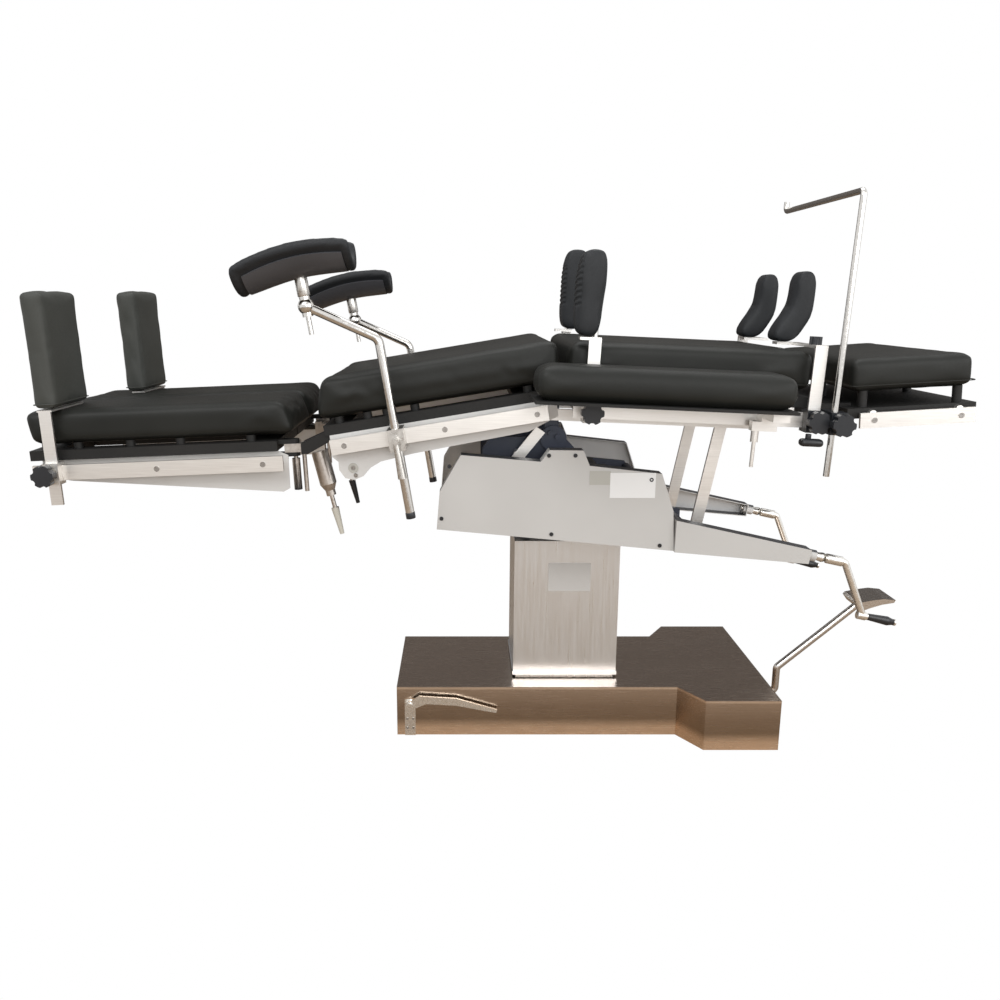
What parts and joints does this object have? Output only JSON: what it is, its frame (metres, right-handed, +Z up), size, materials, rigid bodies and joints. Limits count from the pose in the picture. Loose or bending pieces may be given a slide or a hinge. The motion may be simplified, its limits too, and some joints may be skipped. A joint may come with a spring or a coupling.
{
  "type": "operating table",
  "caption": "Hydraulic operating table on one column, with jointed charcoal cushions, split leg rests, side rails, crank handles, supports and a bent screen rod.",
  "frame": {"origin": "on the floor under the centre of the lifting column", "axes": "+X along the table to the head end, +Y to the far side of the pictured view, +Z up"},
  "size_m": [2.0662, 0.7922, 1.2698],
  "materials": {
    "base_plate_steel": "painted floor plate",
    "base_stainless": "brushed stainless sheet",
    "column_steel": "ground steel",
    "hydraulic_steel": "painted steel",
    "lever_steel": "satin steel",
    "pedal_chrome": "bright chrome",
    "column_stainless": "brushed stainless sheet",
    "cast_steel": "painted casting",
    "carriage_paint": "dark satin paint",
    "cover_paint": "light grey powder coat",
    "plate_paint": "light grey powder coat",
    "rail_stainless": "brushed stainless",
    "rod_stainless": "polished stainless rod",
    "clamp_cast": "cast stainless",
    "clamp_black": "black moulded clamp and knob",
    "board_laminate": "dark X-ray clear laminate",
    "pad_vinyl": "charcoal conductive vinyl",
    "pad_slate": "dark slate moulded pad",
    "grip_black": "black moulded grip"
  },
  "bodies": {
    "base": {"base_plate": "base_plate_steel", "base_cover": "base_stainless", "mast": "column_steel", "hydraulic_unit": "hydraulic_steel"},
    "brake": {"brake_lever": "lever_steel"},
    "pedal": {"pump_pedal": "pedal_chrome"},
    "lift": {"column_cover": "column_stainless", "lift_ram": "pedal_chrome", "saddle": "cast_steel"},
    "yoke": {"tilt_yoke": "cast_steel"},
    "carriage": {"carriage_frame": "carriage_paint", "side_covers": "cover_paint", "crank_arms": "cover_paint", "struts": "rail_stainless", "support_frame": "rail_stainless"},
    "seat": {"seat_board": "board_laminate", "seat_pad": "pad_vinyl", "seat_side_plates": "plate_paint", "seat_rails": "rail_stainless", "seat_clamps": "clamp_cast"},
    "back": {"back_board": "board_laminate", "back_pad": "pad_vinyl", "back_rails": "rail_stainless", "back_clamps": "clamp_black"},
    "head": {"head_board": "board_laminate", "head_pad": "pad_vinyl", "head_rails": "rail_stainless"},
    "screen": {"screen_frame": "rod_stainless"},
    "arm_board": {"arm_board_plate": "board_laminate", "arm_board_pad": "pad_vinyl"},
    "crank_near": {"crank_near": "rod_stainless"},
    "crank_grip_near": {"crank_grip_near": "grip_black"},
    "leg_hinge_near": {"leg_hinge_near": "rail_stainless"},
    "leg_near": {"leg_board_near": "board_laminate", "leg_pad_near": "pad_vinyl", "leg_side_plate_near": "plate_paint", "leg_rail_near": "rail_stainless"},
    "foot_near": {"foot_post_near": "rail_stainless", "foot_board_near": "pad_vinyl"},
    "lateral_post_near": {"lateral_post_near": "rail_stainless"},
    "lateral_pad_near": {"lateral_pad_near": "pad_slate"},
    "shoulder_post_near": {"shoulder_post_near": "rail_stainless"},
    "shoulder_pad_near": {"shoulder_pad_near": "pad_slate"},
    "crutch_post_near": {"crutch_post_near": "rod_stainless"},
    "crutch_trough_near": {"crutch_trough_near": "pad_slate"},
    "crank_far": {"crank_far": "rod_stainless"},
    "crank_grip_far": {"crank_grip_far": "grip_black"},
    "leg_hinge_far": {"leg_hinge_far": "rail_stainless"},
    "leg_far": {"leg_board_far": "board_laminate", "leg_pad_far": "pad_vinyl", "leg_side_plate_far": "plate_paint", "leg_rail_far": "rail_stainless"},
    "foot_far": {"foot_post_far": "rail_stainless", "foot_board_far": "pad_vinyl"},
    "lateral_post_far": {"lateral_post_far": "rail_stainless"},
    "lateral_pad_far": {"lateral_pad_far": "pad_slate"},
    "shoulder_post_far": {"shoulder_post_far": "rail_stainless"},
    "shoulder_pad_far": {"shoulder_pad_far": "pad_slate"},
    "crutch_post_far": {"crutch_post_far": "rod_stainless"},
    "crutch_trough_far": {"crutch_trough_far": "pad_slate"}
  },
  "joints": [
    {"name": "brake_turn", "type": "hinge", "parent": "base", "child": "brake", "pos_m": [-0.378, -0.172, 0.081], "axis": [0, -1, 0], "range_deg": [0, 60]},
    {"name": "pedal_press", "type": "hinge", "parent": "base", "child": "pedal", "pos_m": [0.452, 0, 0.038], "axis": [0, 1, 0], "range_deg": [0, 10], "stiffness_Nm_per_rad": 40, "springref_deg": -20.05},
    {"name": "column_lift", "type": "slide", "parent": "base", "child": "lift", "axis": [0, 0, 1], "range_m": [0, 0.25]},
    {"name": "side_tilt", "type": "hinge", "parent": "lift", "child": "yoke", "pos_m": [0, 0, 0.61], "axis": [1, 0, 0], "range_deg": [-15, 15]},
    {"name": "length_tilt", "type": "hinge", "parent": "yoke", "child": "carriage", "pos_m": [0, 0, 0.61], "axis": [0, 1, 0], "range_deg": [-15, 15]},
    {"name": "seat_flex", "type": "hinge", "parent": "carriage", "child": "seat", "pos_m": [-0.045, 0, 0.838], "axis": [0, -1, 0], "range_deg": [-6, 6]},
    {"name": "back_raise", "type": "hinge", "parent": "carriage", "child": "back", "pos_m": [-0.045, 0, 0.838], "axis": [0, -1, 0], "range_deg": [0, 9]},
    {"name": "head_tilt", "type": "hinge", "parent": "back", "child": "head", "pos_m": [0.545, 0, 0.8], "axis": [0, -1, 0], "range_deg": [-45, 30]},
    {"name": "screen_slide", "type": "slide", "parent": "back", "child": "screen", "axis": [0.0436, 0, 0.999], "range_m": [-0.12, 0.08]},
    {"name": "arm_board_swing", "type": "hinge", "parent": "back", "child": "arm_board", "pos_m": [0.3949, -0.352, 0.8111], "axis": [0.0436, 0, 0.999], "range_deg": [0, 90]},
    {"name": "crank_near_spin", "type": "hinge", "parent": "carriage", "child": "crank_near", "pos_m": [0.552, -0.226, 0.469], "axis": [0.9763, 0, -0.2164], "continuous": true},
    {"name": "crank_grip_near_spin", "type": "hinge", "parent": "crank_near", "child": "crank_grip_near", "pos_m": [0.67594, -0.226, 0.32578], "axis": [0.9763, 0, -0.2164], "continuous": true},
    {"name": "leg_near_fold", "type": "hinge", "parent": "seat", "child": "leg_hinge_near", "pos_m": [-0.596, 0, 0.71804], "axis": [0, -1, 0], "range_deg": [-8, 65]},
    {"name": "leg_near_swing", "type": "hinge", "parent": "leg_hinge_near", "child": "leg_near", "pos_m": [-0.62247, -0.215, 0.71693], "axis": [-0.0419, 0, 0.9991], "range_deg": [0, 60]},
    {"name": "foot_near_slide", "type": "slide", "parent": "leg_near", "child": "foot_near", "axis": [0.9991, 0, 0.0419], "range_m": [-0.025, 0.2]},
    {"name": "lateral_near_slide", "type": "slide", "parent": "back", "child": "lateral_post_near", "axis": [0.0436, 0, 0.999], "range_m": [0, 0.03]},
    {"name": "lateral_near_swivel", "type": "hinge", "parent": "lateral_post_near", "child": "lateral_pad_near", "pos_m": [0.02748, -0.262, 0.96998], "axis": [0.0436, 0, 0.999], "range_deg": [-60, 60]},
    {"name": "shoulder_near_slide", "type": "slide", "parent": "back", "child": "shoulder_post_near", "axis": [0.0436, 0, 0.999], "range_m": [0, 0.03]},
    {"name": "shoulder_near_swivel", "type": "hinge", "parent": "shoulder_post_near", "child": "shoulder_pad_near", "pos_m": [0.46806, -0.12, 0.95074], "axis": [0.0436, 0, 0.999], "range_deg": [-30, 30]},
    {"name": "crutch_near_slide", "type": "slide", "parent": "seat", "child": "crutch_post_near", "axis": [-0.1616, 0, 0.9869], "range_m": [-0.1, 0.1]},
    {"name": "crutch_near_swivel", "type": "hinge", "parent": "crutch_post_near", "child": "crutch_trough_near", "pos_m": [-0.57471, -0.3, 1.04739], "axis": [-0.1616, 0, 0.9869], "range_deg": [-60, 60]},
    {"name": "crank_far_spin", "type": "hinge", "parent": "carriage", "child": "crank_far", "pos_m": [0.552, 0.226, 0.469], "axis": [0.9763, 0, -0.2164], "continuous": true},
    {"name": "crank_grip_far_spin", "type": "hinge", "parent": "crank_far", "child": "crank_grip_far", "pos_m": [0.67594, 0.226, 0.32578], "axis": [0.9763, 0, -0.2164], "continuous": true},
    {"name": "leg_far_fold", "type": "hinge", "parent": "seat", "child": "leg_hinge_far", "pos_m": [-0.596, 0, 0.71804], "axis": [0, -1, 0], "range_deg": [-8, 65]},
    {"name": "leg_far_swing", "type": "hinge", "parent": "leg_hinge_far", "child": "leg_far", "pos_m": [-0.62247, 0.215, 0.71693], "axis": [0.0419, 0, -0.9991], "range_deg": [0, 60]},
    {"name": "foot_far_slide", "type": "slide", "parent": "leg_far", "child": "foot_far", "axis": [0.9991, 0, 0.0419], "range_m": [-0.025, 0.2]},
    {"name": "lateral_far_slide", "type": "slide", "parent": "back", "child": "lateral_post_far", "axis": [0.0436, 0, 0.999], "range_m": [0, 0.03]},
    {"name": "lateral_far_swivel", "type": "hinge", "parent": "lateral_post_far", "child": "lateral_pad_far", "pos_m": [0.02748, 0.262, 0.96998], "axis": [0.0436, 0, 0.999], "range_deg": [-60, 60]},
    {"name": "shoulder_far_slide", "type": "slide", "parent": "back", "child": "shoulder_post_far", "axis": [0.0436, 0, 0.999], "range_m": [0, 0.03]},
    {"name": "shoulder_far_swivel", "type": "hinge", "parent": "shoulder_post_far", "child": "shoulder_pad_far", "pos_m": [0.46806, 0.12, 0.95074], "axis": [0.0436, 0, 0.999], "range_deg": [-30, 30]},
    {"name": "crutch_far_slide", "type": "slide", "parent": "seat", "child": "crutch_post_far", "axis": [-0.1616, 0, 0.9869], "range_m": [-0.1, 0.1]},
    {"name": "crutch_far_swivel", "type": "hinge", "parent": "crutch_post_far", "child": "crutch_trough_far", "pos_m": [-0.54671, 0.3, 1.00637], "axis": [-0.1616, 0, 0.9869], "range_deg": [-60, 60]}
  ]
}
